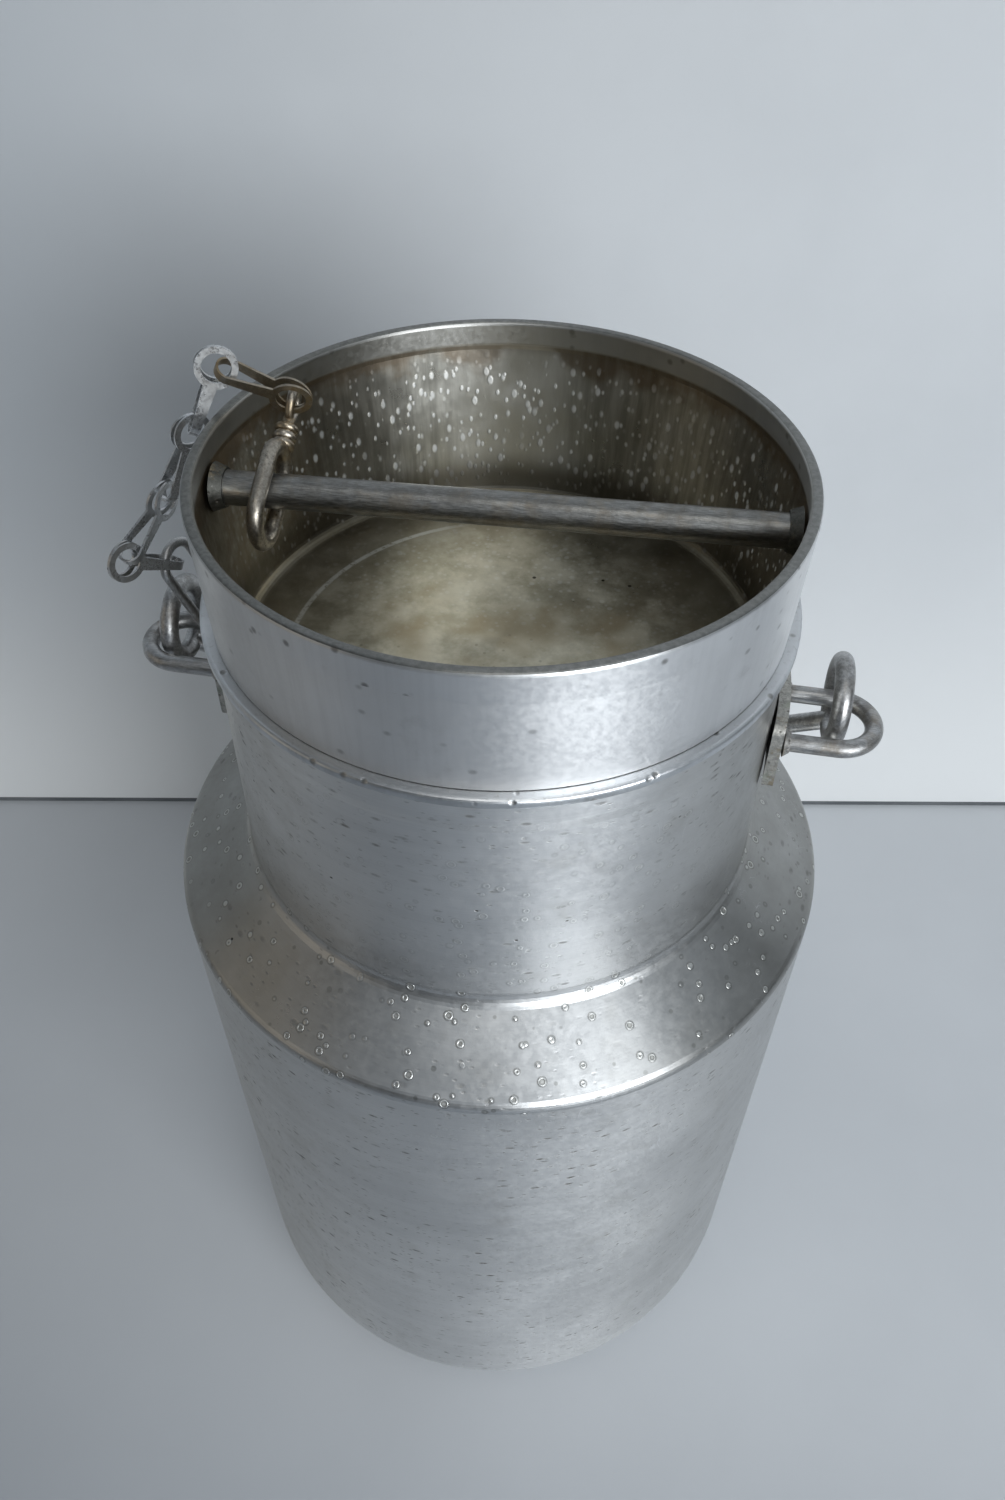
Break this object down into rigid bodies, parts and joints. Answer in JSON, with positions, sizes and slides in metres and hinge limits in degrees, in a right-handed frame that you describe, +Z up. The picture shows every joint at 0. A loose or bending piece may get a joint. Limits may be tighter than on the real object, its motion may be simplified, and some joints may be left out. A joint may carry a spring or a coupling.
{
  "type": "milk can",
  "caption": "Round metal milk can with a wide neck, a deep push-in lid with a cross bar, a wire bail on two ears and a short tether chain from the lid to one ear.",
  "frame": {"origin": "centre of the flat standing face, on the floor", "axes": "+Z up along the can's axis, +X through the right-hand ear, +Y towards the side the bail lies on"},
  "size_m": [0.277, 0.2707, 0.5136],
  "materials": {
    "can_metal": "worn satin",
    "lid_metal": "worn satin",
    "bar_metal": "dull mottled",
    "plate_metal": "rough mottled",
    "wire_steel": "dull",
    "brown_steel": "tarnished",
    "link_steel": "bright"
  },
  "bodies": {
    "can": {"body_wall": "can_metal", "base_pan": "can_metal", "shoulder": "can_metal", "neck": "can_metal", "neck_rim": "can_metal", "right_ear_plate": "plate_metal", "left_ear_plate": "plate_metal", "right_staple": "wire_steel", "left_staple": "wire_steel", "staple_welds": "wire_steel"},
    "lid": {"lid_cup": "lid_metal", "lid_rim": "lid_metal", "cross_bar": "bar_metal", "bar_welds": "bar_metal"},
    "bail": {"bail_handle": "wire_steel"},
    "tie_ring": {"tie_ring": "brown_steel"},
    "chain_link_1": {"chain_link_1": "brown_steel"},
    "chain_link_2": {"chain_link_2": "link_steel"},
    "chain_link_3": {"chain_link_3": "link_steel"},
    "chain_link_4": {"chain_link_4": "link_steel"},
    "chain_link_5": {"chain_link_5": "link_steel"},
    "chain_end_ring": {"chain_end_ring": "wire_steel"}
  },
  "joints": [
    {"name": "lid_lift", "type": "slide", "parent": "can", "child": "lid", "axis": [0, 0, 1], "range_m": [0, 0.028]},
    {"name": "bail_swing", "type": "hinge", "parent": "can", "child": "bail", "pos_m": [-0.002, 0.0095, 0.403], "axis": [1, 0, 0], "range_deg": [0, 80]},
    {"name": "tie_ring_hinge", "type": "hinge", "parent": "lid", "child": "tie_ring", "pos_m": [-0.07689, -0.00403, 0.4753], "axis": [-0.9986, -0.0523, 0], "range_deg": [0, 13.08]},
    {"name": "link_1_hinge", "type": "hinge", "parent": "tie_ring", "child": "chain_link_1", "pos_m": [-0.07574, 0.02292, 0.49482], "axis": [-0.3055, -0.3964, -0.8658], "range_deg": [0, 10.2]},
    {"name": "link_2_hinge", "type": "hinge", "parent": "chain_link_1", "child": "chain_link_2", "pos_m": [-0.09824, 0.01727, 0.50655], "axis": [0.9065, 0.0196, -0.4217], "range_deg": [0, 10.77]},
    {"name": "link_3_hinge", "type": "hinge", "parent": "chain_link_2", "child": "chain_link_3", "pos_m": [-0.10923, 0.01307, 0.48336], "axis": [0.9795, -0.006, 0.2015], "range_deg": [0, 5.77]},
    {"name": "end_ring_hinge", "type": "hinge", "parent": "can", "child": "chain_end_ring", "pos_m": [-0.1115, 0.013, 0.4], "axis": [-0.4896, 0.0516, -0.8704], "range_deg": [0, 23.47]},
    {"name": "link_5_hinge", "type": "hinge", "parent": "chain_end_ring", "child": "chain_link_5", "pos_m": [-0.11915, 0.0027, 0.43558], "axis": [-0.74, 0.672, -0.0281], "range_deg": [0, 18.79]},
    {"name": "link_4_hinge", "type": "hinge", "parent": "chain_link_5", "child": "chain_link_4", "pos_m": [-0.12843, -0.01746, 0.44912], "axis": [0.9519, -0.273, 0.1393], "range_deg": [0, 51.34]}
  ],
  "couplings": [
    {"joint": "tie_ring_hinge", "follows": "lid_lift", "rad_per_m": 7.9487},
    {"joint": "link_1_hinge", "follows": "lid_lift", "rad_per_m": 6.169},
    {"joint": "link_2_hinge", "follows": "lid_lift", "rad_per_m": 6.5243},
    {"joint": "link_3_hinge", "follows": "lid_lift", "rad_per_m": 3.4359},
    {"joint": "end_ring_hinge", "follows": "lid_lift", "rad_per_m": 14.362},
    {"joint": "link_5_hinge", "follows": "lid_lift", "rad_per_m": 11.472},
    {"joint": "link_4_hinge", "follows": "lid_lift", "rad_per_m": 31.562}
  ]
}
